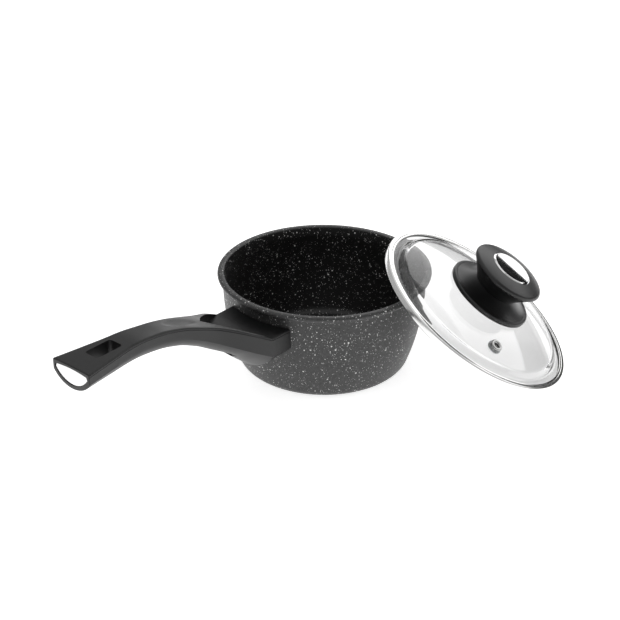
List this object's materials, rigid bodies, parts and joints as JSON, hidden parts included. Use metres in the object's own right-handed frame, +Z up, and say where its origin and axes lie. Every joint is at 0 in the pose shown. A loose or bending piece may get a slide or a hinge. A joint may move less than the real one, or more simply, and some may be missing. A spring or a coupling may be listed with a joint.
{
  "type": "saucepan with glass lid",
  "caption": "Small cast saucepan with a long rising handle and a loose domed glass lid that leans against its lip.",
  "frame": {"origin": "centre of the pan's foot, on the surface it stands on", "axes": "+Z up; the handle points along -X; the lid leans on the lip on the +X, -Y side"},
  "size_m": [0.3949, 0.251, 0.1024],
  "materials": {
    "coated_aluminium": "matte",
    "base_steel": "satin",
    "raw_aluminium": "matte",
    "phenolic": "matte",
    "knob_phenolic": "satin",
    "screw_steel": "satin",
    "bright_plate": "polished",
    "tempered_glass": "polished",
    "band_steel": "satin",
    "eyelet_steel": "polished",
    "silicone": "matte",
    "insert_brass": "satin"
  },
  "bodies": {
    "pan": {"pan_body": "coated_aluminium", "induction_base": "base_steel", "handle_bracket": "raw_aluminium", "handle": "phenolic", "handle_screw": "screw_steel", "handle_lock_washer": "screw_steel", "handle_end_plate": "bright_plate"},
    "lid": {"lid_glass": "tempered_glass", "lid_rim": "band_steel", "lid_rim_liner": "silicone", "vent_eyelet": "eyelet_steel", "vent_washer": "screw_steel", "knob_seat_gasket": "silicone", "knob_base": "knob_phenolic", "knob_head": "knob_phenolic", "knob_insert": "insert_brass", "knob_top_plate": "bright_plate", "knob_screw": "screw_steel", "knob_washer": "screw_steel", "knob_gasket": "silicone"}
  },
  "joints": [
    {"name": "lid_lift", "type": "slide", "parent": "pan", "child": "lid", "axis": [0, 0, 1], "range_m": [0, 0.2]}
  ]
}
